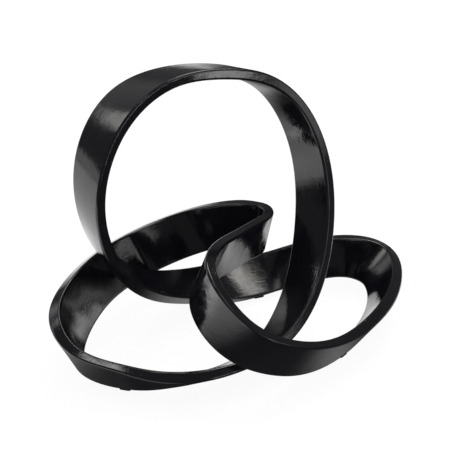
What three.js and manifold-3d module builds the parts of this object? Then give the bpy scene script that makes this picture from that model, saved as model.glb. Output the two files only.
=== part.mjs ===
// A free-standing knot made of one flat metal band, which turns over as it goes round, so that its
// two rims are one line. The band is cast in five open lengths, because a closed knot can't be drawn
// from a mould. Each length has a bevel on its ends, and the bevels are filled by a weld bead that is
// ground flush. The knot stands on three small pads, each under a place that is ground flat.
// Millimetres, +Z up, +X to the viewer's right, +Y away from the viewer. The origin is under the
// middle of the knot, on the surface that it stands on.
import * as THREE from 'three';
import Module from 'manifold-3d';
import { mergeVertices } from 'three/addons/utils/BufferGeometryUtils.js';

const wasm = await Module();
wasm.setup();

// Band section
const BAND_WIDTH = 36.5; // over the rims, across the broad faces
const BAND_THICKNESS = 9.5; // from one broad face to the other
const ARRIS_RADIUS = 2; // rounding of the four long edges
const ARRIS_STEPS = 3; // facets on each rounding
const FACE_STEPS = 3; // facets across each broad face, which is twisted

// Rings of section points along the band
const RING_SPACING = 9;
const RING_MIN = 1.5;
const RING_TURN = 0.16; // most radians of bend or twist from ring to ring, down to RING_MIN

// Welds between the castings
const WELD_WIDTH = 7; // along the band, at its surface
const WELD_DEPTH = 2.5; // depth of the bevel
const WELD_ROOT = 0.6; // width of the bead at its root
const BEVEL_STEPS = 2; // rings down each bevel, which is twisted with the band
const FIT_GAP = 0.3; // between pieces that touch

// Pads, and the flat seats ground for them on the band's lowest edge
const PAD_THICKNESS = 1;
const PAD_LENGTH = 9;
const PAD_WIDTH = 3;
const PAD_STEPS = 8; // facets on each round end
const SEAT_DEPTH = 0.8; // metal ground off below the seat
const SEAT_HEIGHT = PAD_THICKNESS + FIT_GAP;

// Course of the band's middle line: how far apart its outermost stations are
const COURSE_WIDTH = 253; // along X
const COURSE_DEPTH = 178; // along Y
const COURSE_HEIGHT = 192; // along Z

// The stations. Each has the middle of the section, in hundredths of the course's width, depth and
// height, and the direction across the band's width as a heading in degrees from +X towards +Y, and
// a dip below level in degrees. The castings are finished by hand, so it also says how full the
// section is there, as a share of the band's width and of its thickness.
const STATIONS = [
  { name: 'crown', at: [-17.8, 15.2, 107.9], across: [-62, -10], full: [1.01, 0.84] },
  { name: 'left_shoulder', at: [-30.4, 3.4, 101.8], across: [-53, -2], full: [1.04, 0.92] },
  { name: 'left_high', at: [-38.6, -7.9, 86.5], across: [-48, -6], full: [1.03, 0.9] },
  { name: 'left_side', at: [-40.8, -15.7, 65.6], across: [-57, -10], full: [1.01, 0.9] },
  { name: 'left_low', at: [-36.6, -16.3, 43.2], across: [-65, -3], full: [1, 1] },
  { name: 'left_foot', at: [-27.1, -7.5, 24.4], across: [-61, 6], full: [1, 1] },
  { name: 'sill_left', at: [-11.9, 10.1, 11.8], across: [-61, 15], full: [1, 0.85] },
  { name: 'sill', at: [6.3, 23.9, 7.6], across: [-64, 42], full: [0.96, 1] },
  { name: 'rail', at: [25, 33.4, 10.2], across: [-60, 66], full: [0.94, 1] },
  { name: 'rail_end', at: [40.3, 37.1, 11.7], across: [-45, 83], full: [1.02, 1] },
  { name: 'heel', at: [49.9, 28.7, 11.8], across: [201, 64], full: [1.06, 1.05] },
  { name: 'right_side', at: [51.7, 9, 10.3], across: [162, 57], full: [1.06, 1.05] },
  { name: 'right_front', at: [45.1, -17.4, 9.2], across: [151, 56], full: [1.07, 1.05] },
  { name: 'front_rise', at: [33, -39.8, 9.5], across: [154, 55], full: [1.1, 0.85] },
  { name: 'climb', at: [18.2, -58.4, 18.1], across: [160, 54], full: [1.07, 0.8] },
  { name: 'climb_end', at: [2.3, -62.9, 31.9], across: [161, 52], full: [1.04, 0.95] },
  { name: 'inner_bend', at: [-6.5, -47.8, 45.4], across: [156, 67], full: [1.04, 0.94] },
  { name: 'bridge', at: [1.7, -13.5, 41.9], across: [192, 73], full: [1, 0.86] },
  { name: 'fold_approach', at: [9.17, 4.04, 38.85], across: [181, 76], full: [1, 0.85] },
  { name: 'fold_entry', at: [12.21, 11.97, 37.76], across: [185, 79], full: [1, 0.9] },
  { name: 'fold', at: [12.25, 16.29, 38.02], across: [190, 81], full: [1, 1] },
  { name: 'fold_exit', at: [10.67, 19.66, 37.71], across: [-45, 86], full: [1, 1] },
  { name: 'fold_away', at: [7.11, 23.48, 36.72], across: [-20, 77], full: [1, 1] },
  { name: 'back_rail', at: [-11.9, 33.7, 25.9], across: [-50, 66], full: [1.04, 1] },
  { name: 'back_left', at: [-31.9, 14.4, 22.6], across: [-38, 60], full: [1.06, 1.05] },
  { name: 'loop_left', at: [-44.1, -15.7, 22.2], across: [-15, 55], full: [1.06, 1.15] },
  { name: 'loop_corner', at: [-48.2, -36.5, 17], across: [23, 61], full: [1.11, 1.16] },
  { name: 'front_corner', at: [-44.2, -50.1, 12.3], across: [71, 58], full: [1.11, 0.9] },
  { name: 'front_left', at: [-31.8, -56.6, 8.6], across: [99, 53], full: [1.1, 0.8] },
  { name: 'front', at: [-15.8, -60.4, 9.1], across: [110, 40], full: [0.96, 1] },
  { name: 'front_right', at: [0.8, -51.1, 8.1], across: [119, 36], full: [1, 0.85] },
  { name: 'under_pass', at: [15, -34.3, 12], across: [126, 30], full: [1.03, 0.9] },
  { name: 'right_rise', at: [24.1, -14, 24.5], across: [135, 24], full: [1.03, 0.92] },
  { name: 'right_low', at: [28.1, 6.2, 43.8], across: [140, 25], full: [1.02, 0.95] },
  { name: 'right_mid', at: [27.3, 22.5, 65.6], across: [135, 28], full: [1.02, 0.9] },
  { name: 'right_high', at: [21.3, 31.5, 85.2], across: [125, 29], full: [1.03, 0.85] },
  { name: 'right_shoulder', at: [11.4, 32, 99.3], across: [116, 22], full: [1, 0.9] },
  { name: 'crown_right', at: [-2.8, 25.1, 106.4], across: [115, 16], full: [0.96, 0.95] },
];

// The knot stands at the band's lowest point near each of these stations.
const RESTS = [
  { name: 'pad_rear', near: 'sill' },
  { name: 'pad_front_right', near: 'right_front' },
  { name: 'pad_front_left', near: 'front_left' },
];
const REST_STEPS = 80; // places looked at between the station before and the station after
const LEVELLING_PASSES = 4;

// Welds, each at a share of the way from a station to the next, and the casting that follows it
const JOINTS = [
  { weld: 'weld_crown', after: 'crown', share: 0.3, casting: 'casting_left_arch' },
  { weld: 'weld_heel', after: 'rail_end', share: 0.6, casting: 'casting_right_loop' },
  { weld: 'weld_fold', after: 'fold_away', share: 0.11, casting: 'casting_left_loop' },
  { weld: 'weld_front', after: 'front_left', share: 0.75, casting: 'casting_right_arch' },
  { weld: 'weld_right', after: 'right_mid', share: 0.58, casting: 'casting_crown' },
];

const KNOT_POWER = 0.75; // spacing of the spline's knots: the distance between stations to this power
const TABLE_STEPS = 4000; // steps in the table of length against spline parameter

const ENAMEL = { color: 0x0b0b0d, roughness: 0.16, metalness: 0 };
const RUBBER = { color: 0x1a1a1a, roughness: 0.85, metalness: 0 };

// Gaussian elimination for a square matrix, with a vector on each row's right side.
function solveRows(matrix, sides) {
  const size = matrix.length;
  for (let pivot = 0; pivot < size; pivot++) {
    for (let row = pivot + 1; row < size; row++) {
      const factor = matrix[row][pivot] / matrix[pivot][pivot];
      if (factor === 0) continue;
      for (let col = pivot; col < size; col++) matrix[row][col] -= factor * matrix[pivot][col];
      sides[row].addScaledVector(sides[pivot], -factor);
    }
  }
  for (let row = size - 1; row >= 0; row--) {
    for (let col = row + 1; col < size; col++) sides[row].addScaledVector(sides[col], -matrix[row][col]);
    sides[row].divideScalar(matrix[row][row]);
  }
  return sides;
}

// A closed cubic spline through the points, whose slope and bend run on through every knot.
class ClosedSpline {
  constructor(spans, points) {
    const count = points.length;
    this.spans = spans;
    this.points = points;
    this.starts = spans.map((_, i) => spans.slice(0, i).reduce((sum, span) => sum + span, 0));
    const matrix = points.map(() => new Array(count).fill(0));
    const sides = points.map((point, i) => {
      const before = (i + count - 1) % count;
      const after = (i + 1) % count;
      matrix[i][before] += spans[before] / 6;
      matrix[i][i] += (spans[before] + spans[i]) / 3;
      matrix[i][after] += spans[i] / 6;
      const rise = points[after].clone().sub(point).divideScalar(spans[i]);
      return rise.sub(point.clone().sub(points[before]).divideScalar(spans[before]));
    });
    this.bends = solveRows(matrix, sides);
  }

  locate(u) {
    let i = this.starts.length - 1;
    while (this.starts[i] > u) i--;
    const past = u - this.starts[i];
    return { i, next: (i + 1) % this.points.length, span: this.spans[i], past, left: this.spans[i] - past };
  }

  valueAt(u) {
    const { i, next, span, past, left } = this.locate(u);
    return new THREE.Vector3()
      .addScaledVector(this.points[i], left / span)
      .addScaledVector(this.points[next], past / span)
      .addScaledVector(this.bends[i], (left ** 3 / span - left * span) / 6)
      .addScaledVector(this.bends[next], (past ** 3 / span - past * span) / 6);
  }

  slopeAt(u) {
    const { i, next, span, past, left } = this.locate(u);
    return this.points[next].clone().sub(this.points[i]).divideScalar(span)
      .addScaledVector(this.bends[i], span / 6 - left ** 2 / (2 * span))
      .addScaledVector(this.bends[next], past ** 2 / (2 * span) - span / 6);
  }
}

// The band's course as a function of the distance along it. One circuit turns the band over, so the
// splines run through the stations twice, with the width reversed in the second circuit.
class Course {
  constructor(stations) {
    const middles = stations.map((station) => new THREE.Vector3(...station.at));
    const widths = stations.map(({ across: [heading, dip] }) => new THREE.Vector3(
      Math.cos(dip * THREE.MathUtils.DEG2RAD) * Math.cos(heading * THREE.MathUtils.DEG2RAD),
      Math.cos(dip * THREE.MathUtils.DEG2RAD) * Math.sin(heading * THREE.MathUtils.DEG2RAD),
      -Math.sin(dip * THREE.MathUtils.DEG2RAD),
    ));
    const spans = middles.map((middle, i) => {
      return middle.distanceTo(middles[(i + 1) % middles.length]) ** KNOT_POWER;
    });
    const reversed = widths.map((width) => width.clone().negate());
    const shares = stations.map(({ full }) => new THREE.Vector3(...full, 0));
    this.path = new ClosedSpline([...spans, ...spans], [...middles, ...middles]);
    this.width = new ClosedSpline([...spans, ...spans], [...widths, ...reversed]);
    this.share = new ClosedSpline(spans, shares);
    this.circuit = spans.reduce((sum, span) => sum + span, 0);
    this.lengths = [0];
    let last = this.path.valueAt(0);
    for (let i = 1; i <= TABLE_STEPS; i++) {
      const next = this.path.valueAt((this.circuit * i) / TABLE_STEPS);
      this.lengths.push(this.lengths[i - 1] + next.distanceTo(last));
      last = next;
    }
    this.length = this.lengths[TABLE_STEPS];
    this.places = new Map(stations.map(({ name }, i) => {
      const row = (this.path.starts[i] / this.circuit) * TABLE_STEPS;
      return [name, this.lengths[Math.round(row)]];
    }));
  }

  // Middle, direction, width direction, face direction and fullness at a distance, which may pass
  // the end.
  frameAt(distance) {
    const turns = Math.floor(distance / this.length);
    const rest = distance - turns * this.length;
    let low = 0;
    let high = TABLE_STEPS;
    while (high - low > 1) {
      const half = (low + high) >> 1;
      if (this.lengths[half] > rest) high = half;
      else low = half;
    }
    const part = (rest - this.lengths[low]) / (this.lengths[high] - this.lengths[low]);
    const u = (this.circuit * (low + part)) / TABLE_STEPS;
    const along = this.path.slopeAt(u).normalize();
    const across = this.width.valueAt(u).multiplyScalar(turns % 2 === 0 ? 1 : -1);
    across.addScaledVector(along, -across.dot(along)).normalize();
    const out = new THREE.Vector3().crossVectors(along, across);
    return { middle: this.path.valueAt(u), along, across, out, full: this.share.valueAt(u) };
  }
}

// Section outline, drawn in by an inset: the rims lie at the ends of x and the broad faces of y.
function sectionOutline(full, inset) {
  const radius = Math.max(ARRIS_RADIUS - inset, FIT_GAP);
  const x = (BAND_WIDTH * full.x) / 2 - inset - radius;
  const y = (BAND_THICKNESS * full.y) / 2 - inset - radius;
  const corners = [[x, y], [-x, y], [-x, -y], [x, -y]];
  const outline = [];
  corners.forEach(([cx, cy], corner) => {
    for (let i = 0; i <= ARRIS_STEPS; i++) {
      const angle = ((corner + i / ARRIS_STEPS) * Math.PI) / 2;
      outline.push([cx + radius * Math.cos(angle), cy + radius * Math.sin(angle)]);
    }
    if (corner % 2 === 1) return;
    const [nextX] = corners[corner + 1];
    const faceY = cy + radius * Math.sign(cy);
    for (let i = 1; i < FACE_STEPS; i++) {
      outline.push([cx + ((nextX - cx) * i) / FACE_STEPS, faceY]);
    }
  });
  return outline;
}

function sectionRing(course, distance, inset) {
  const { middle, across, out, full } = course.frameAt(distance);
  return sectionOutline(full, inset).map(([x, y]) => {
    return middle.clone().addScaledVector(across, x).addScaledVector(out, y);
  });
}

// A body through the rings, with flat ends, or joined end to end where it is closed.
function loft(rings, closed) {
  const size = rings[0].length;
  const positions = rings.flat().flatMap((point) => [point.x, point.y, point.z]);
  const indices = [];
  const last = closed ? rings.length : rings.length - 1;
  for (let ring = 0; ring < last; ring++) {
    const here = ring * size;
    const there = ((ring + 1) % rings.length) * size;
    for (let i = 0; i < size; i++) {
      const j = (i + 1) % size;
      indices.push(here + i, here + j, there + j, here + i, there + j, there + i);
    }
  }
  if (!closed) {
    const end = (rings.length - 1) * size;
    for (let i = 1; i < size - 1; i++) indices.push(0, i + 1, i, end, end + i, end + i + 1);
  }
  const geometry = new THREE.BufferGeometry();
  geometry.setAttribute('position', new THREE.Float32BufferAttribute(positions, 3));
  geometry.setIndex(indices);
  return geometry;
}

// Distances of the rings of a stretch, which stand closer where the band bends or twists fast.
function ringDistances(course, start, end) {
  const steps = [];
  let distance = start;
  while (distance < end) {
    const here = course.frameAt(distance);
    const ahead = course.frameAt(distance + RING_MIN);
    const turn = here.along.angleTo(ahead.along) + here.across.angleTo(ahead.across);
    const step = THREE.MathUtils.clamp((RING_TURN * RING_MIN) / turn, RING_MIN, RING_SPACING);
    steps.push(step);
    distance += step;
  }
  const scale = (end - start) / (distance - start);
  const distances = [start];
  steps.forEach((step) => distances.push(distances[distances.length - 1] + step * scale));
  return distances;
}

// Rings down a bevel, from a place and inset to a second place and inset, which is left out.
function bevelRings(course, [place, inset], [endPlace, endInset]) {
  return Array.from({ length: BEVEL_STEPS }, (_, step) => {
    const part = step / BEVEL_STEPS;
    const distance = THREE.MathUtils.lerp(place, endPlace, part);
    return sectionRing(course, distance, THREE.MathUtils.lerp(inset, endInset, part));
  });
}

// A casting from one joint to the next, with a bevel all round each end.
function castingGeometry(course, start, end) {
  const bevel = WELD_WIDTH / 2;
  const full = ringDistances(course, start + bevel, end - bevel);
  return loft([
    ...bevelRings(course, [start + FIT_GAP / 2, WELD_DEPTH], [start + bevel, 0]),
    ...full.map((distance) => sectionRing(course, distance, 0)),
    ...bevelRings(course, [end - FIT_GAP / 2, WELD_DEPTH], [end - bevel, 0]).reverse(),
  ], false);
}

// The bead that fills the bevels of two castings: a ring round the band, wedge-shaped in section.
function weldGeometry(course, joint) {
  const slope = Math.hypot(WELD_WIDTH / 2, WELD_DEPTH) / WELD_DEPTH;
  const half = WELD_WIDTH / 2 - FIT_GAP * slope;
  const depth = WELD_DEPTH - FIT_GAP - (WELD_ROOT * WELD_DEPTH) / WELD_WIDTH;
  return loft([
    ...bevelRings(course, [joint - half, 0], [joint + half, 0]),
    ...bevelRings(course, [joint + half, 0], [joint + WELD_ROOT / 2, depth]),
    ...bevelRings(course, [joint + WELD_ROOT / 2, depth], [joint - WELD_ROOT / 2, depth]),
    ...bevelRings(course, [joint - WELD_ROOT / 2, depth], [joint - half, 0]),
  ], true);
}

// The distance of a place at a share of the way from a station to the next.
function placeAfter(course, station, share) {
  const index = STATIONS.findIndex(({ name }) => name === station);
  const next = STATIONS[index + 1].name;
  return THREE.MathUtils.lerp(course.places.get(station), course.places.get(next), share);
}

// The band's lowest point between the stations before and after the one named.
function lowestPoint(course, station) {
  const index = STATIONS.findIndex(({ name }) => name === station);
  const start = course.places.get(STATIONS[index - 1].name);
  const end = course.places.get(STATIONS[index + 1].name);
  let lowest = null;
  for (let step = 0; step <= REST_STEPS; step++) {
    const distance = THREE.MathUtils.lerp(start, end, step / REST_STEPS);
    for (const point of sectionRing(course, distance, 0)) {
      if (lowest === null || point.z < lowest.point.z) lowest = { point, distance };
    }
  }
  return lowest;
}

// Tilts the stations until the three lowest points lie on one level, a seat's depth below the seats.
function levelled(stations) {
  let result = stations;
  for (let pass = 0; pass < LEVELLING_PASSES; pass++) {
    const course = new Course(result);
    const points = RESTS.map(({ near }) => lowestPoint(course, near).point);
    const { normal, constant } = new THREE.Plane().setFromCoplanarPoints(...points);
    const heightOver = (x, y) => -(constant + normal.x * x + normal.y * y) / normal.z;
    result = result.map((station) => {
      const [x, y, z] = station.at;
      return { ...station, at: [x, y, z - heightOver(x, y) + SEAT_HEIGHT - SEAT_DEPTH] };
    });
  }
  return result;
}

function toSolid(geometry) {
  const bare = geometry.clone();
  bare.deleteAttribute('normal');
  bare.deleteAttribute('uv');
  const merged = mergeVertices(bare);
  return new wasm.Manifold(new wasm.Mesh({
    numProp: 3,
    vertProperties: Float32Array.from(merged.attributes.position.array),
    triVerts: Uint32Array.from(merged.index.array),
  }));
}

function toGeometry(solid) {
  const { vertProperties, triVerts } = solid.getMesh();
  const geometry = new THREE.BufferGeometry();
  geometry.setAttribute('position', new THREE.BufferAttribute(vertProperties, 3));
  geometry.setIndex(new THREE.BufferAttribute(triVerts, 1));
  return geometry;
}

// Grinds a casting or a weld flat at the height of the seats.
function groundFlat(geometry) {
  geometry.computeBoundingBox();
  const { min, max } = geometry.boundingBox;
  if (min.z >= SEAT_HEIGHT) return geometry;
  const margin = BAND_WIDTH;
  const size = max.clone().sub(min).addScalar(2 * margin);
  const block = new THREE.BoxGeometry(size.x, size.y, margin);
  block.translate((min.x + max.x) / 2, (min.y + max.y) / 2, SEAT_HEIGHT - margin / 2);
  return toGeometry(toSolid(geometry).subtract(toSolid(block)));
}

// A pad with round ends, under the middle of its seat and in line with the band there.
function padMesh(course, { name, near }) {
  const { distance } = lowestPoint(course, near);
  const ring = sectionRing(course, distance, 0);
  const edges = [];
  ring.forEach((point, i) => {
    const next = ring[(i + 1) % ring.length];
    if ((point.z < SEAT_HEIGHT) === (next.z < SEAT_HEIGHT)) return;
    edges.push(point.clone().lerp(next, (SEAT_HEIGHT - point.z) / (next.z - point.z)));
  });
  const seat = edges[0].lerp(edges[1], 0.5);
  const { along } = course.frameAt(distance);
  const radius = PAD_WIDTH / 2;
  const run = PAD_LENGTH / 2 - radius;
  const outline = new THREE.Shape();
  outline.absarc(run, 0, radius, -Math.PI / 2, Math.PI / 2, false);
  outline.absarc(-run, 0, radius, Math.PI / 2, (3 * Math.PI) / 2, false);
  const geometry = new THREE.ExtrudeGeometry(outline, {
    depth: PAD_THICKNESS, bevelEnabled: false, curveSegments: PAD_STEPS,
  });
  const mesh = named(name, geometry, RUBBER);
  mesh.position.set(seat.x, seat.y, 0);
  mesh.rotation.z = Math.atan2(along.y, along.x);
  return mesh;
}

function named(name, geometry, finish) {
  const mesh = new THREE.Mesh(geometry, new THREE.MeshStandardMaterial(finish));
  mesh.name = name;
  return mesh;
}

const reach = new THREE.Vector3(COURSE_WIDTH, COURSE_DEPTH, COURSE_HEIGHT).divideScalar(100);
const stations = STATIONS.map((station) => {
  return { ...station, at: new THREE.Vector3(...station.at).multiply(reach).toArray() };
});
const course = new Course(levelled(stations));
const joints = JOINTS.map(({ after, share }) => placeAfter(course, after, share));
const knot = new THREE.Group();
JOINTS.forEach(({ weld, casting }, i) => {
  const next = joints[i + 1] ?? joints[0] + course.length;
  knot.add(named(casting, groundFlat(castingGeometry(course, joints[i], next)), ENAMEL));
  knot.add(named(weld, groundFlat(weldGeometry(course, joints[i])), ENAMEL));
});
RESTS.forEach((rest) => knot.add(padMesh(course, rest)));

// The knot's middle is moved over the origin.
const box = new THREE.Box3().setFromObject(knot);
const middle = box.getCenter(new THREE.Vector3());
knot.position.set(-middle.x, -middle.y, 0);

const sculpture = new THREE.Group();
sculpture.add(knot);

export default sculpture;
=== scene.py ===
"""The ribbon knot in gloss black enamel, on a white table, from the photograph's viewpoint.

The band is drawn again from the same stations as the CAD solids, with far finer rings, because a
gloss surface shows every facet. Each casting and each weld bead is a piece of its own.
Lengths of the band are in millimetres, and everything handed to Blender is in metres.
"""

import math

import bmesh
import bpy
import numpy as np
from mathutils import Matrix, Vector


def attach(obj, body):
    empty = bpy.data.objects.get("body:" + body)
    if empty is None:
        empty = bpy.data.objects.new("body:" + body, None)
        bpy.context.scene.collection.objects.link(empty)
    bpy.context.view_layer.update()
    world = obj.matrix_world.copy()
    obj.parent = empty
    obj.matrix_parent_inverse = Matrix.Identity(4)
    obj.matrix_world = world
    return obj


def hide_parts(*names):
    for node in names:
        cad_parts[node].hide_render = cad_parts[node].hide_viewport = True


PER_METRE = 1000

# Band section, as in the CAD
BAND_WIDTH = 36.5
BAND_THICKNESS = 9.5
ARRIS_RADIUS = 2.0

# Welds, pads and seats, as in the CAD
WELD_WIDTH = 7.0
WELD_DEPTH = 2.5
WELD_ROOT = 0.6
FIT_GAP = 0.3
PAD_THICKNESS = 1.0
SEAT_DEPTH = 0.8
SEAT_HEIGHT = PAD_THICKNESS + FIT_GAP

# Spacing of the rings: the widest, the closest, and the most that the band turns between two, in
# radians
RING_SPACING = 2.2
RING_MIN = 0.5
RING_TURN = 0.035
LEAST_TURN = 1e-6

# Steps round the section, over each arris, broad face and rim
ARRIS_STEPS = 6
FACE_STEPS = 12
RIM_STEPS = 2

# How finely the course is measured
KNOT_POWER = 0.75
LENGTH_STEPS = 4000
REST_STEPS = 80
LEVELLING_PASSES = 4
SLOPE_STEP = 0.2

# The course's reach between its outermost stations, along X, Y and Z
COURSE_WIDTH = 253.0
COURSE_DEPTH = 178.0
COURSE_HEIGHT = 192.0

# name, middle of the section in hundredths of the reach, heading and dip of the width, and share of
# the band's width and thickness
STATIONS = [
    ("crown", (-17.8, 15.2, 107.9), (-62, -10), (1.01, 0.84)),
    ("left_shoulder", (-30.4, 3.4, 101.8), (-53, -2), (1.04, 0.92)),
    ("left_high", (-38.6, -7.9, 86.5), (-48, -6), (1.03, 0.9)),
    ("left_side", (-40.8, -15.7, 65.6), (-57, -10), (1.01, 0.9)),
    ("left_low", (-36.6, -16.3, 43.2), (-65, -3), (1, 1)),
    ("left_foot", (-27.1, -7.5, 24.4), (-61, 6), (1, 1)),
    ("sill_left", (-11.9, 10.1, 11.8), (-61, 15), (1, 0.85)),
    ("sill", (6.3, 23.9, 7.6), (-64, 42), (0.96, 1)),
    ("rail", (25, 33.4, 10.2), (-60, 66), (0.94, 1)),
    ("rail_end", (40.3, 37.1, 11.7), (-45, 83), (1.02, 1)),
    ("heel", (49.9, 28.7, 11.8), (201, 64), (1.06, 1.05)),
    ("right_side", (51.7, 9, 10.3), (162, 57), (1.06, 1.05)),
    ("right_front", (45.1, -17.4, 9.2), (151, 56), (1.07, 1.05)),
    ("front_rise", (33, -39.8, 9.5), (154, 55), (1.1, 0.85)),
    ("climb", (18.2, -58.4, 18.1), (160, 54), (1.07, 0.8)),
    ("climb_end", (2.3, -62.9, 31.9), (161, 52), (1.04, 0.95)),
    ("inner_bend", (-6.5, -47.8, 45.4), (156, 67), (1.04, 0.94)),
    ("bridge", (1.7, -13.5, 41.9), (192, 73), (1, 0.86)),
    ("fold_approach", (9.17, 4.04, 38.85), (181, 76), (1, 0.85)),
    ("fold_entry", (12.21, 11.97, 37.76), (185, 79), (1, 0.9)),
    ("fold", (12.25, 16.29, 38.02), (190, 81), (1, 1)),
    ("fold_exit", (10.67, 19.66, 37.71), (-45, 86), (1, 1)),
    ("fold_away", (7.11, 23.48, 36.72), (-20, 77), (1, 1)),
    ("back_rail", (-11.9, 33.7, 25.9), (-50, 66), (1.04, 1)),
    ("back_left", (-31.9, 14.4, 22.6), (-38, 60), (1.06, 1.05)),
    ("loop_left", (-44.1, -15.7, 22.2), (-15, 55), (1.06, 1.15)),
    ("loop_corner", (-48.2, -36.5, 17), (23, 61), (1.11, 1.16)),
    ("front_corner", (-44.2, -50.1, 12.3), (71, 58), (1.11, 0.9)),
    ("front_left", (-31.8, -56.6, 8.6), (99, 53), (1.1, 0.8)),
    ("front", (-15.8, -60.4, 9.1), (110, 40), (0.96, 1)),
    ("front_right", (0.8, -51.1, 8.1), (119, 36), (1, 0.85)),
    ("under_pass", (15, -34.3, 12), (126, 30), (1.03, 0.9)),
    ("right_rise", (24.1, -14, 24.5), (135, 24), (1.03, 0.92)),
    ("right_low", (28.1, 6.2, 43.8), (140, 25), (1.02, 0.95)),
    ("right_mid", (27.3, 22.5, 65.6), (135, 28), (1.02, 0.9)),
    ("right_high", (21.3, 31.5, 85.2), (125, 29), (1.03, 0.85)),
    ("right_shoulder", (11.4, 32, 99.3), (116, 22), (1, 0.9)),
    ("crown_right", (-2.8, 25.1, 106.4), (115, 16), (0.96, 0.95)),
]
RESTS = ("sill", "right_front", "front_left")

# Small turns of the broad faces' shading about the band's direction. They stand for
# how far the dressed casting is from flat. Station, share of the way to the next, degrees.
LEANS = [
    ("crown", 0.0, 0), ("left_side", 0.0, 0), ("left_foot", 0.0, -2), ("left_foot", 0.5, -18),
    ("sill_left", 0.0, -20), ("sill", 0.0, -23), ("sill", 0.3, -24), ("sill", 0.7, -3),
    ("rail", 0.0, -2), ("rail", 0.5, -14), ("rail_end", 0.0, -20), ("heel", 0.0, -18),
    ("heel", 0.5, -20), ("right_side", 0.0, 2), ("right_side", 0.5, -3), ("right_front", 0.5, 0),
    ("front_rise", 0.5, -8), ("climb", 0.0, 4), ("climb", 0.5, -4), ("climb_end", 0.0, -4),
    ("climb_end", 0.5, -6), ("inner_bend", 0.0, -2), ("inner_bend", 0.5, 4), ("bridge", 0.0, -8),
    ("bridge", 0.5, -12), ("fold_approach", 0.0, -18), ("fold_approach", 0.5, -24),
    ("fold_entry", 0.0, -28), ("fold", 0.0, -26), ("fold_away", 0.0, -10), ("fold_away", 0.5, 4),
    ("back_rail", 0.0, 6), ("back_rail", 0.5, 4), ("back_rail", 0.7, -2), ("back_rail", 0.9, -22),
    ("back_left", 0.0, -23), ("back_left", 0.5, -12), ("loop_left", 0.0, -20),
    ("loop_left", 0.5, -15), ("loop_corner", 0.0, -5), ("front_corner", 0.0, 0),
    ("front_corner", 0.5, 4), ("front_left", 0.0, 0), ("front_left", 0.5, -18),
    ("front", 0.0, -20), ("front_right", 0.0, 4), ("under_pass", 0.0, 9), ("under_pass", 0.5, 7),
    ("right_rise", 0.0, 6), ("right_low", 0.0, 2), ("right_low", 0.5, 6), ("right_mid", 0.0, 0),
    ("right_mid", 0.5, 13), ("right_high", 0.0, 8), ("right_high", 0.5, 6),
    ("right_shoulder", 0.0, 2), ("crown_right", 0.0, 0),
]

# How far the broad faces' shading falls away towards their edges, in degrees
FACE_CROWN = 2.0

# weld, station before it, share of the way to the next station, casting that follows the weld
JOINTS = [
    ("weld_crown", "crown", 0.3, "casting_left_arch"),
    ("weld_heel", "rail_end", 0.6, "casting_right_loop"),
    ("weld_fold", "fold_away", 0.11, "casting_left_loop"),
    ("weld_front", "front_left", 0.75, "casting_right_arch"),
    ("weld_right", "right_mid", 0.58, "casting_crown"),
]
PADS = ("pad_rear", "pad_front_right", "pad_front_left")

# The photograph's viewpoint
VIEW_AIM = (-0.00485, 0.02418, 0.0924)
VIEW_ELEVATION = 30.35
VIEW_DISTANCE = 1.3
VIEW_PIXELS = 450
FOCAL_PIXELS = 1645.6
SENSOR = 36.0
CLIP_START = 0.05

# Studio, as the enamel reflects it. Each light: name, azimuth from +Y towards +X, elevation, half
# width and half height in degrees, radiance, colour.
WHITE = (1, 1, 1)
STUDIO_LIGHTS = [
    ("back_top", 28, 61, 26, 15, 7.0, (1.0, 0.98, 0.93)),
    ("right_top", 106, 56, 30, 12, 1.5, WHITE),
    ("right_strip", 112, 20, 26, 10, 1.35, WHITE),
    ("right_spot", 131, 4, 7, 9, 5.0, WHITE),
    ("left_lamp", -70, 36, 10, 10, 3.1, (1.0, 1.0, 0.96)),
    ("left_low", -49, 24, 13, 9, 0.7, WHITE),
    ("left_skirt", -42, 32, 34, 20, 0.38, WHITE),
    ("left_horizon", -80, 0, 30, 7, 1.0, WHITE),
    ("front_top", -158, 74, 8, 6, 6.5, WHITE),
]

# Radiance of the rest of the room: as the enamel reflects it, added to that for diffuse light, and
# as the camera sees it
ROOM_GLOW = 0.13
ROOM_FILL = 0.7
BACKDROP = 1.0

# The table: half its side, its own colour, and its radiance for the camera and for diffuse light
TABLE_HALF = 6.0
TABLE_COLOUR = (0.08, 0.08, 0.08)
TABLE_SEEN = 0.93
TABLE_FILL = 0.9

# The table's glow in the enamel, a painted light kept dim near the knot as painted shade: near the
# knot;
# further out on the left; the distances between which that comes in; and the places along X between
# which it comes in, from right to left
TABLE_GLOW = (0.06, 1.6, 0.12, 0.22, 0.02, -0.06)

# How far behind the knot the glow on the left starts and ends falling, and by what share
TABLE_FALL = (0.3, 0.6, 0.45)

# Pools of light on the table, as the enamel reflects it: name, place, radius, radiance
TABLE_POOLS = [
    ("inside_right_loop", 0.085, 0.06, 0.07, 1.2),
    ("inside_left_loop", -0.02, 0.02, 0.06, 2.1),
    ("behind_right", 0.3, 0.18, 0.25, 3.5),
    ("front_left", -0.3, -0.1, 0.16, 2.4),
    ("front_right", 0.1, -0.05, 0.05, 0.3),
]

# Enamel: index of refraction, its two tones, and its roughness where the dressing is low and high
ENAMEL_IOR = 1.5
ENAMEL_TONES = ((0.0030, 0.0028, 0.0044), (0.0052, 0.0050, 0.0070))
ENAMEL_ROUGHNESS = (0.08, 0.15)

# The enamel's relief: how many to the metre, how much finer detail, and how deep in metres
STREAKS_ALONG, STREAKS_ACROSS, STREAKS_DETAIL, STREAKS_DEPTH = 110, 700, 2.0, 0.00010
WAVES, WAVES_DETAIL, WAVES_DEPTH = 38.0, 1.0, 0.00015
DRESSING, DRESSING_DETAIL, DRESSING_DEPTH = 160.0, 2.0, 0.00010
PEEL, PEEL_DETAIL, PEEL_DEPTH = 700.0, 2.0, 0.000004
PITS, PITS_DEPTH = 260.0, 0.00003

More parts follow.
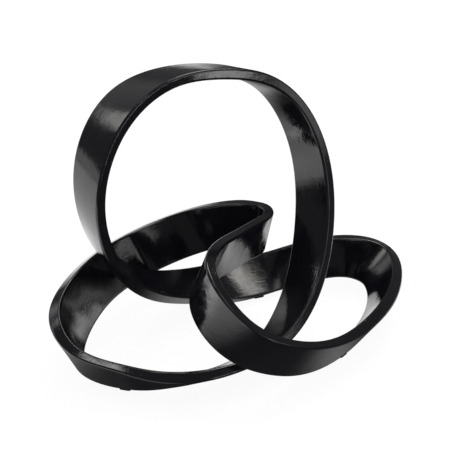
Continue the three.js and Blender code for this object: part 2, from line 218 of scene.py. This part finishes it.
# Levels of the dressing between which the roughness changes, and the edge of a pit, from its middle
DRESSING_LEVELS = (0.3, 0.7)
PIT_EDGE = (0.08, 0.2)

# Streaks come and go: how many to the metre, detail, levels between which they come, share of them
WORKED, WORKED_DETAIL = 30.0, 1.0
WORKED_LEVELS = (0.4, 0.62)
WORKED_SHARE = (0.25, 1.0)

# The dull patch on the rail: its middle and reach along the band, in metres, and its roughness
DULL_PLACE, DULL_REACH, DULL_ROUGHNESS = 0.328, 0.028, 0.14

# Rubber: its two tones, its roughness, and its speckle
RUBBER_TONES = ((0.008, 0.008, 0.008), (0.022, 0.022, 0.021))
RUBBER_ROUGHNESS = 0.8
SPECKLE, SPECKLE_DETAIL, SPECKLE_STRENGTH, SPECKLE_DEPTH = 900.0, 3.0, 0.4, 0.0001

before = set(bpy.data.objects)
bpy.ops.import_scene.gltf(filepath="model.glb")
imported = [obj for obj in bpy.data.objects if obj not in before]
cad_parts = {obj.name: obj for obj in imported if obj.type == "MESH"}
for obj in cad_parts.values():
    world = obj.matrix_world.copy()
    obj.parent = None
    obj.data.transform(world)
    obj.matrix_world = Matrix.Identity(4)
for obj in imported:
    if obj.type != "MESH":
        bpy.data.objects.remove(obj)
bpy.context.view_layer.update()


class ClosedSpline:
    """A closed cubic spline through the values, whose slope and bend run on through every knot."""

    def __init__(self, spans, values):
        count = len(values)
        self.spans = np.asarray(spans, float)
        self.values = np.asarray(values, float)
        self.starts = np.concatenate([[0], np.cumsum(self.spans)[:-1]])
        matrix = np.zeros((count, count))
        sides = np.zeros_like(self.values)
        for i in range(count):
            before, after = (i - 1) % count, (i + 1) % count
            matrix[i, before] += self.spans[before] / 6
            matrix[i, i] += (self.spans[before] + self.spans[i]) / 3
            matrix[i, after] += self.spans[i] / 6
            sides[i] = (self.values[after] - self.values[i]) / self.spans[i]
            sides[i] -= (self.values[i] - self.values[before]) / self.spans[before]
        self.bends = np.linalg.solve(matrix, sides)

    def locate(self, u):
        i = np.clip(np.searchsorted(self.starts, u, side="right") - 1, 0, None)
        past = (u - self.starts[i])[:, None]
        span = self.spans[i][:, None]
        return i, (i + 1) % len(self.values), span, past, span - past

    def value_at(self, u):
        i, j, span, past, left = self.locate(u)
        value = self.values[i] * left / span + self.values[j] * past / span
        value += self.bends[i] * (left**3 / span - left * span) / 6
        return value + self.bends[j] * (past**3 / span - past * span) / 6

    def slope_at(self, u):
        i, j, span, past, left = self.locate(u)
        slope = (self.values[j] - self.values[i]) / span
        slope += self.bends[i] * (span / 6 - left**2 / (2 * span))
        return slope + self.bends[j] * (past**2 / (2 * span) - span / 6)


def unit(vectors):
    return vectors / np.linalg.norm(vectors, axis=-1, keepdims=True)


def station_index(station):
    return [row[0] for row in STATIONS].index(station)


def place_after(course, station, share):
    """The distance of a place at a share of the way from a station to the next."""
    after = station_index(station) + 1
    start = course.places[station]
    end = course.places[STATIONS[after][0]] if after < len(STATIONS) else course.length
    return start + share * (end - start)


class Course:
    """The band's course as a function of the distance along it, over two circuits."""

    def __init__(self, middles):
        heading, dip = np.radians([station[2] for station in STATIONS]).T
        level = np.cos(dip)
        widths = np.stack([level * np.cos(heading), level * np.sin(heading), -np.sin(dip)], 1)
        spans = np.linalg.norm(np.roll(middles, -1, axis=0) - middles, axis=1) ** KNOT_POWER
        twice = np.concatenate([spans, spans])
        self.path = ClosedSpline(twice, np.concatenate([middles, middles]))
        self.width = ClosedSpline(twice, np.concatenate([widths, -widths]))
        self.share = ClosedSpline(spans, [station[3] for station in STATIONS])
        circuit = spans.sum()
        self.table = np.linspace(0, circuit, LENGTH_STEPS + 1)
        points = self.path.value_at(self.table)
        steps = np.linalg.norm(np.diff(points, axis=0), axis=1)
        self.lengths = np.concatenate([[0], np.cumsum(steps)])
        self.length = self.lengths[-1]
        starts = self.path.starts[: len(STATIONS)] / circuit * LENGTH_STEPS
        at = np.round(starts).astype(int)
        self.places = {station[0]: self.lengths[k] for station, k in zip(STATIONS, at)}
        lean_places = [place_after(self, *row[:2]) for row in LEANS]
        self.lean_places = np.array(lean_places + [self.length])
        self.leans = np.radians([row[2] for row in LEANS] + [LEANS[0][2]])

    def lean_at(self, distances):
        """How far the broad faces lean, changing smoothly from one listed place to the next."""
        distances = np.mod(distances, self.length)
        i = np.searchsorted(self.lean_places, distances, side="right") - 1
        i = np.clip(i, 0, len(self.leans) - 2)
        start, end = self.lean_places[i], self.lean_places[i + 1]
        share = (distances - start) / (end - start)
        return self.leans[i] + (self.leans[i + 1] - self.leans[i]) * share**2 * (3 - 2 * share)

    def frames_at(self, distances):
        """The middle, the directions along, across and out, and the shares of the full size."""
        turns = np.floor(distances / self.length)
        u = np.interp(distances - turns * self.length, self.lengths, self.table)
        along = unit(self.path.slope_at(u))
        across = self.width.value_at(u) * np.where(turns % 2 == 0, 1.0, -1.0)[:, None]
        across = unit(across - (across * along).sum(1, keepdims=True) * along)
        return self.path.value_at(u), along, across, np.cross(along, across), self.share.value_at(u)


def section_pattern():
    """The outline's points as shares of the corner's place, and the outline's outward direction."""
    rows = []
    for corner, (cx, cy) in enumerate(((1, 1), (-1, 1), (-1, -1), (1, -1))):
        for i in range(ARRIS_STEPS + 1):
            angle = (corner + i / ARRIS_STEPS) * math.pi / 2
            rows.append((cx, cy, math.cos(angle), math.sin(angle)))
        steps = FACE_STEPS if corner % 2 == 0 else RIM_STEPS
        for i in range(1, steps):
            across = 1 - 2 * i / steps
            rows.append((cx * across, cy, 0, cy) if corner % 2 == 0 else (cx, cy * across, cx, 0))
    return np.array(rows, float)


PATTERN = section_pattern()


def rings(course, distances, inset=0.0):
    """Points and outward normals of the section at each distance, drawn in by the inset."""
    inset = np.broadcast_to(np.asarray(inset, float), distances.shape)[:, None]

    def points(at):
        middle, along, across, out, full = course.frames_at(at)
        radius = np.maximum(ARRIS_RADIUS - inset, FIT_GAP)
        x = BAND_WIDTH * full[:, :1] / 2 - inset - radius
        y = BAND_THICKNESS * full[:, 1:2] / 2 - inset - radius
        px = PATTERN[:, 0] * x + radius * PATTERN[:, 2]
        py = PATTERN[:, 1] * y + radius * PATTERN[:, 3]
        place = middle[:, None] + px[..., None] * across[:, None] + py[..., None] * out[:, None]
        turn = PATTERN[:, 2, None] * out[:, None] - PATTERN[:, 3, None] * across[:, None]
        crown = math.radians(FACE_CROWN) * PATTERN[:, 0] * PATTERN[:, 3]
        lean = course.lean_at(at)[:, None] * np.abs(PATTERN[:, 3]) - crown
        return place, turn, along[:, None], lean[..., None]

    here, turn, along, lean = points(distances)
    ahead, behind = points(distances + SLOPE_STEP)[0], points(distances - SLOPE_STEP)[0]
    normal = unit(np.cross(turn, ahead - behind))
    normal = unit(normal * np.cos(lean) + np.cross(along, normal) * np.sin(lean))
    return here, normal


def lowest_point(course, station):
    """The lowest point of the band between the stations before and after this one."""
    index = station_index(station)
    start, end = course.places[STATIONS[index - 1][0]], course.places[STATIONS[index + 1][0]]
    points, _ = rings(course, np.linspace(start, end, REST_STEPS + 1))
    flat = points.reshape(-1, 3)
    return flat[flat[:, 2].argmin()]


def levelled(middles):
    """Tilts the stations until the three lowest points lie on one level."""
    for _ in range(LEVELLING_PASSES):
        course = Course(middles)
        corners = np.array([lowest_point(course, station) for station in RESTS])
        plane = np.linalg.solve(np.column_stack([corners[:, :2], np.ones(3)]), corners[:, 2])
        height = middles[:, :2] @ plane[:2] + plane[2]
        middles = middles - np.outer(height - (SEAT_HEIGHT - SEAT_DEPTH), (0, 0, 1))
    return middles


def ring_distances(course, start, end):
    """Distances of the rings of a stretch, which stand closer where the band turns fast."""
    distances = [start]
    while distances[-1] < end:
        pair = np.array([distances[-1], distances[-1] + RING_MIN])
        _, along, across, _, _ = course.frames_at(pair)
        turn = math.acos(min(1, along[0] @ along[1])) + math.acos(min(1, across[0] @ across[1]))
        step = RING_TURN * RING_MIN / max(turn, LEAST_TURN)
        distances.append(distances[-1] + min(max(step, RING_MIN), RING_SPACING))
    distances = np.array(distances)
    return start + (distances - start) * (end - start) / (distances[-1] - start)


reach = np.array([COURSE_WIDTH, COURSE_DEPTH, COURSE_HEIGHT]) / 100
course = Course(levelled(np.array([station[1] for station in STATIONS]) * reach))
joints = [place_after(course, after, share) for _, after, share, _ in JOINTS]

# The middle of the knot's box comes over the origin
everywhere, _ = rings(course, np.linspace(0, course.length, LENGTH_STEPS))
low, high = everywhere.reshape(-1, 3).min(0), everywhere.reshape(-1, 3).max(0)
SHIFT = np.array([-(low[0] + high[0]) / 2, -(low[1] + high[1]) / 2, 0])


def outline_lengths():
    """Distance round the section's outline up to each of its points, and up to its first again."""
    x = BAND_WIDTH / 2 - ARRIS_RADIUS
    y = BAND_THICKNESS / 2 - ARRIS_RADIUS
    points = PATTERN[:, :2] * (x, y) + ARRIS_RADIUS * PATTERN[:, 2:]
    steps = np.linalg.norm(np.roll(points, -1, axis=0) - points, axis=1)
    return np.concatenate([[0], np.cumsum(steps)])


ROUND = outline_lengths()


def loft(name, before, core, after, closed):
    """A piece through rings. core holds the distances of the rings that show, and before and after
    hold (distance, inset) of the hidden rings past its ends. It closes on itself, or has flat ends.
    """
    size = len(PATTERN)
    shown, outward = rings(course, core)
    hidden = [rings(course, *np.array(rows, float).T)[0] for rows in (before, after)]
    grid = (np.concatenate([hidden[0], shown, hidden[1]]) + SHIFT) / PER_METRE
    count = len(grid)
    first = len(hidden[0])
    column = np.arange(size)
    columns = np.stack([column, (column + 1) % size, (column + 1) % size, column], 1)
    ring = np.arange(count if closed else count - 1)
    turn = np.array([0, 0, 1, 1])
    quads = ((ring[:, None, None] + turn) % count) * size + columns[None]
    faces = quads.reshape(-1, 4).tolist()
    if not closed:
        faces.append(column[::-1].tolist())
        faces.append((column + (count - 1) * size).tolist())
    mesh = bpy.data.meshes.new(name)
    mesh.from_pydata(grid.reshape(-1, 3).tolist(), [], faces)

    # What each point needs after the seat is cut: its normal, and its place in the finish's grain
    normals = np.zeros((count, size, 3))
    normals[first : first + len(shown)] = outward
    places = np.zeros((count, size, 3))
    places[..., 0] = np.interp(np.arange(count), first + np.arange(len(shown)), core)[:, None]
    places[..., 1] = ROUND[:-1]
    shows = np.zeros(len(faces))
    shows[first * size : (first + len(shown) - 1) * size] = 1
    for kept, values in (("outward", normals), ("place", places)):
        attribute = mesh.attributes.new(kept, "FLOAT_VECTOR", "POINT")
        attribute.data.foreach_set("vector", values.ravel())
    mesh.attributes.new("shows", "FLOAT", "FACE").data.foreach_set("value", shows)
    grind(mesh)
    finish_corners(mesh)
    piece = bpy.data.objects.new(name, mesh)
    bpy.context.scene.collection.objects.link(piece)
    return piece


def grind(mesh):
    """Cuts the mesh flat at the height of the seats."""
    seat = SEAT_HEIGHT / PER_METRE
    solid = bmesh.new()
    solid.from_mesh(mesh)
    if min(vertex.co.z for vertex in solid.verts) < seat:
        everything = solid.verts[:] + solid.edges[:] + solid.faces[:]
        cut = bmesh.ops.bisect_plane(
            solid, geom=everything, plane_co=(0, 0, seat), plane_no=(0, 0, -1), clear_outer=True
        )
        rim = [item for item in cut["geom_cut"] if isinstance(item, bmesh.types.BMEdge)]
        bmesh.ops.contextual_create(solid, geom=rim)
    solid.to_mesh(mesh)
    solid.free()


def finish_corners(mesh):
    """Sets the grain's coordinates and the corners' normals, and drops what they came from."""

    def read(items, field, width, kind=float):
        values = np.zeros(len(items) * width, kind)
        items.foreach_get(field, values)
        return values.reshape(-1, width) if width > 1 else values

    vertex = read(mesh.loops, "vertex_index", 1, np.int32)
    totals = [polygon.loop_total for polygon in mesh.polygons]
    owner = np.repeat(np.arange(len(totals)), totals)
    outward = read(mesh.attributes["outward"].data, "vector", 3)
    place = read(mesh.attributes["place"].data, "vector", 3)
    shows = read(mesh.attributes["shows"].data, "value", 1)
    flat = read(mesh.polygons, "normal", 3)

    # A face that spans the outline's start ends at the outline's full length
    corner = place[vertex][:, :2]
    largest = np.zeros(len(totals))
    np.maximum.at(largest, owner, corner[:, 1])
    wraps = largest[owner] - corner[:, 1] > ROUND[-1] / 2
    corner[:, 1] += np.where(wraps, ROUND[-1], 0)
    grain = mesh.uv_layers.new(name="grain")
    grain.data.foreach_set("uv", (corner / PER_METRE).ravel())

    normal = np.where((shows[owner] > 0.5)[:, None], outward[vertex], flat[owner])
    for name in ("outward", "place", "shows"):
        mesh.attributes.remove(mesh.attributes[name])
    mesh.polygons.foreach_set("use_smooth", np.ones(len(totals), bool))
    mesh.normals_split_custom_set(normal.tolist())
    mesh.update()


def casting(name, start, end):
    """A length of the band between two joints, with bevelled, flat ends."""
    bevel = WELD_WIDTH / 2
    core = ring_distances(course, start + bevel, end - bevel)
    before = [(start + FIT_GAP / 2, WELD_DEPTH)]
    after = [(end - FIT_GAP / 2, WELD_DEPTH)]
    return loft(name, before, core, after, False)


def weld(name, joint):
    """The ring-shaped bead that fills the bevels at a joint."""
    half = WELD_WIDTH / 2
    depth = WELD_DEPTH - FIT_GAP - WELD_ROOT * WELD_DEPTH / WELD_WIDTH
    core = ring_distances(course, joint - half, joint + half)
    before = [(joint - WELD_ROOT / 2, depth)]
    after = [(joint + WELD_ROOT / 2, depth)]
    return loft(name, before, core, after, True)


class Nodes:
    """Builds the nodes of one tree. Where a node takes a value, a socket or a number will do."""

    def __init__(self, tree):
        self.tree = tree

    def add(self, kind, links=(), **settings):
        """A new node. A setting is the value of an input, or else a property of the node."""
        item = self.tree.nodes.new(kind)
        for key, value in settings.items():
            if key in item.inputs:
                item.inputs[key].default_value = value
            else:
                setattr(item, key, value)
        for source, socket in links:
            if isinstance(source, bpy.types.NodeSocket):
                self.tree.links.new(source, item.inputs[socket])
            else:
                item.inputs[socket].default_value = source
        return item

    def maths(self, operation, *values):
        links = [(value, index) for index, value in enumerate(values)]
        return self.add("ShaderNodeMath", links, operation=operation).outputs[0]

    def measure(self, operation, *vectors):
        """The length, distance or dot product of vectors."""
        links = [(vector, index) for index, vector in enumerate(vectors)]
        return self.add("ShaderNodeVectorMath", links, operation=operation).outputs["Value"]

    def ramp(self, source, start, end, low=0.0, high=1.0):
        """Goes softly from low to high as the source goes from start to end."""
        limits = {"From Min": start, "From Max": end, "To Min": low, "To Max": high}
        item = self.add("ShaderNodeMapRange", interpolation_type="SMOOTHSTEP", **limits)
        self.tree.links.new(source, item.inputs["Value"])
        return item.outputs["Result"]

    def noise(self, source, scale, detail):
        item = self.add("ShaderNodeTexNoise", [(source, "Vector")], Scale=scale, Detail=detail)
        return item.outputs["Fac"]

    def two_tone(self, share, tones):
        item = self.add("ShaderNodeValToRGB", [(share, "Fac")])
        for element, tone in zip(item.color_ramp.elements, tones):
            element.color = (*tone, 1)
        return item.outputs["Color"]

    def light(self, kind, colour, strength):
        """An emission or a background."""
        links = [((*colour, 1), "Color"), (strength, "Strength")]
        return self.add(kind, links).outputs[0]

    def joined(self, one, other):
        return self.add("ShaderNodeAddShader", [(one, 0), (other, 1)]).outputs[0]

    def choice(self, share, otherwise, chosen):
        links = [(share, 0), (otherwise, 1), (chosen, 2)]
        return self.add("ShaderNodeMixShader", links).outputs[0]


def material(name):
    """A node material, its Principled shader and the maker of its nodes."""
    made = bpy.data.materials.new(name)
    made.use_nodes = True
    return made, made.node_tree.nodes["Principled BSDF"], Nodes(made.node_tree)


def enamel():
    """Gloss black enamel over a cast surface that was dressed lengthwise by hand."""
    made, shader, nodes = material("gloss_black_enamel")
    shader.inputs["IOR"].default_value = ENAMEL_IOR
    place = nodes.add("ShaderNodeTexCoord").outputs["Object"]
    grain = nodes.add("ShaderNodeUVMap", uv_map="grain").outputs["UV"]

    stretch = (STREAKS_ALONG, STREAKS_ACROSS, 1)
    stretched = nodes.add("ShaderNodeMapping", [(grain, "Vector")], Scale=stretch).outputs["Vector"]
    streaks = nodes.noise(stretched, 1.0, STREAKS_DETAIL)
    waves = nodes.noise(place, WAVES, WAVES_DETAIL)
    dressing = nodes.noise(place, DRESSING, DRESSING_DETAIL)
    peel = nodes.noise(place, PEEL, PEEL_DETAIL)
    pitted = nodes.add("ShaderNodeTexVoronoi", [(place, "Vector")], Scale=PITS)
    pits = nodes.ramp(pitted.outputs["Distance"], *PIT_EDGE)
    worked = nodes.ramp(nodes.noise(place, WORKED, WORKED_DETAIL), *WORKED_LEVELS, *WORKED_SHARE)
    colour = nodes.two_tone(waves, ENAMEL_TONES)
    nodes.tree.links.new(colour, shader.inputs["Base Color"])

    # The reflection on the rail behind is softer than elsewhere
    along = nodes.add("ShaderNodeSeparateXYZ", [(grain, "Vector")]).outputs["X"]
    apart = nodes.maths("ABSOLUTE", nodes.maths("SUBTRACT", along, DULL_PLACE))
    dull = nodes.ramp(apart, DULL_REACH, 0.0, 0.0, DULL_ROUGHNESS)
    rough = nodes.maths("ADD", nodes.ramp(dressing, *DRESSING_LEVELS, *ENAMEL_ROUGHNESS), dull)
    nodes.tree.links.new(rough, shader.inputs["Roughness"])

    normal = None
    for height, depth in (
        (waves, WAVES_DEPTH),
        (dressing, DRESSING_DEPTH),
        (nodes.maths("MULTIPLY", streaks, worked), STREAKS_DEPTH),
        (peel, PEEL_DEPTH),
        (pits, PITS_DEPTH),
    ):
        links = [(height, "Height")] + ([(normal, "Normal")] if normal else [])
        bump = nodes.add("ShaderNodeBump", links, Strength=1.0, Distance=depth)
        normal = bump.outputs["Normal"]
    nodes.tree.links.new(normal, shader.inputs["Normal"])
    return made


def rubber():
    """Matt black rubber with a fine speckle."""
    made, shader, nodes = material("matt_black_rubber")
    place = nodes.add("ShaderNodeTexCoord").outputs["Object"]
    speckle = nodes.noise(place, SPECKLE, SPECKLE_DETAIL)
    colour = nodes.two_tone(speckle, RUBBER_TONES)
    nodes.tree.links.new(colour, shader.inputs["Base Color"])
    shader.inputs["Roughness"].default_value = RUBBER_ROUGHNESS
    bump = nodes.add(
        "ShaderNodeBump", [(speckle, "Height")], Strength=SPECKLE_STRENGTH, Distance=SPECKLE_DEPTH
    )
    nodes.tree.links.new(bump.outputs["Normal"], shader.inputs["Normal"])
    return made


black = enamel()
for index, (bead, _, _, body) in enumerate(JOINTS):
    start = joints[index]
    end = joints[index + 1] if index + 1 < len(joints) else joints[0] + course.length
    for node_name, piece, slot in (
        (body, casting("enamelled_" + body, start, end), "enamelled_casting"),
        (bead, weld("enamelled_" + bead, start), "enamelled_weld"),
    ):
        piece.data.materials.append(black)
        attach(piece, "root")
        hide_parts(node_name)

soft_black = rubber()
for pad in PADS:
    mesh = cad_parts[pad].data
    mesh.materials.clear()
    mesh.materials.append(soft_black)


def table_glow(nodes):
    """How brightly the enamel sees each place of the table: painted light, dim near the knot as
    painted shade, with painted pools of light.
    """
    place = nodes.add("ShaderNodeTexCoord").outputs["Object"]
    aside = nodes.add("ShaderNodeSeparateXYZ", [(place, "Vector")]).outputs
    near, far, start, end, right, left = TABLE_GLOW
    # Painted shade: the glow is dim near the knot and rises further out
    round_about = nodes.ramp(nodes.measure("LENGTH", place), start, end, 0.0, far)
    leftwards = nodes.ramp(aside["X"], right, left)
    fall_start, fall_end, fall = TABLE_FALL
    falling = nodes.ramp(aside["Y"], fall_start, fall_end, 0.0, -fall)
    share = nodes.maths("MULTIPLY_ADD", falling, leftwards, leftwards)
    glow = nodes.maths("MULTIPLY_ADD", round_about, share, near)
    for name, x, y, radius, level in TABLE_POOLS:
        away = nodes.measure("DISTANCE", place, (x, y, 0))
        glow = nodes.maths("ADD", glow, nodes.ramp(away, radius, 0.0, 0.0, level))
        glow.node.label = name
    return glow


def floor():
    """The white table. The camera sees it white, with a faint shadow. The enamel reflects the
    table's glow, and diffuse light comes from it as from a pale table."""
    half = TABLE_HALF
    mesh = bpy.data.meshes.new("table")
    corners = [(-half, -half, 0), (half, -half, 0), (half, half, 0), (-half, half, 0)]
    mesh.from_pydata(corners, [], [(0, 1, 2, 3)])
    table = bpy.data.objects.new("table", mesh)
    bpy.context.scene.collection.objects.link(table)
    made, shader, nodes = material("white_table")
    shader.inputs["Base Color"].default_value = (*TABLE_COLOUR, 1)
    shader.inputs["Roughness"].default_value = 1.0
    shader.inputs["Specular IOR Level"].default_value = 0.0
    seen = nodes.light("ShaderNodeEmission", WHITE, TABLE_SEEN)
    reflected = nodes.light("ShaderNodeEmission", WHITE, table_glow(nodes))
    bounced = nodes.light("ShaderNodeEmission", WHITE, TABLE_FILL)
    path = nodes.add("ShaderNodeLightPath").outputs
    unseen = nodes.choice(path["Is Glossy Ray"], bounced, reflected)
    surface = nodes.choice(path["Is Camera Ray"], unseen, nodes.joined(shader.outputs[0], seen))
    output = nodes.tree.nodes["Material Output"]
    nodes.tree.links.new(surface, output.inputs["Surface"])
    mesh.materials.append(made)


def studio_light(nodes, direction, azimuth, elevation, wide, high, radiance, colour):
    """A soft-edged light far off: its direction, its half width and half height in degrees."""
    turn, rise = math.radians(azimuth), math.radians(elevation)
    level = math.cos(rise)
    centre = Vector((math.sin(turn) * level, math.cos(turn) * level, math.sin(rise)))
    side = Vector((math.cos(turn), -math.sin(turn), 0))
    squares = []
    for axis, half in ((side, wide), (side.cross(centre), high)):
        along = nodes.measure("DOT_PRODUCT", direction, axis)
        share = nodes.maths("DIVIDE", along, math.sin(math.radians(half)))
        squares.append(nodes.maths("POWER", share, 2.0))
    strength = nodes.ramp(nodes.maths("ADD", *squares), 1.0, 0.0)
    ahead = nodes.maths("GREATER_THAN", nodes.measure("DOT_PRODUCT", direction, centre), 0.0)
    scaled = nodes.maths("MULTIPLY", nodes.maths("MULTIPLY", strength, ahead), radiance)
    return nodes.light("ShaderNodeBackground", colour, scaled)


def studio():
    """The room: white for the camera, the lights in a dim room for the enamel's reflections, and
    the lights with an even fill for diffuse light."""
    world = bpy.data.worlds.new("studio")
    bpy.context.scene.world = world
    world.use_nodes = True
    nodes = Nodes(world.node_tree)
    direction = nodes.add("ShaderNodeTexCoord").outputs["Generated"]
    total = nodes.light("ShaderNodeBackground", WHITE, ROOM_GLOW)
    for name, *light in STUDIO_LIGHTS:
        source = studio_light(nodes, direction, *light)
        source.node.label = name
        total = nodes.joined(total, source)
    filled = nodes.joined(total, nodes.light("ShaderNodeBackground", WHITE, ROOM_FILL))
    backdrop = nodes.light("ShaderNodeBackground", WHITE, BACKDROP)
    path = nodes.add("ShaderNodeLightPath").outputs
    unseen = nodes.choice(path["Is Glossy Ray"], filled, total)
    surface = nodes.choice(path["Is Camera Ray"], unseen, backdrop)
    nodes.tree.links.new(surface, nodes.tree.nodes["World Output"].inputs["Surface"])


floor()
studio()

camera = bpy.data.cameras.new("viewpoint")
camera.sensor_width = SENSOR
camera.lens = FOCAL_PIXELS * SENSOR / VIEW_PIXELS
camera.clip_start = CLIP_START
viewer = bpy.data.objects.new("viewpoint", camera)
bpy.context.scene.collection.objects.link(viewer)
tilt = math.radians(VIEW_ELEVATION)
viewer.location = Vector(VIEW_AIM) + VIEW_DISTANCE * Vector((0, -math.cos(tilt), math.sin(tilt)))
viewer.rotation_euler = (math.pi / 2 - tilt, 0, 0)
bpy.context.scene.camera = viewer
bpy.context.scene.view_settings.view_transform = "Standard"
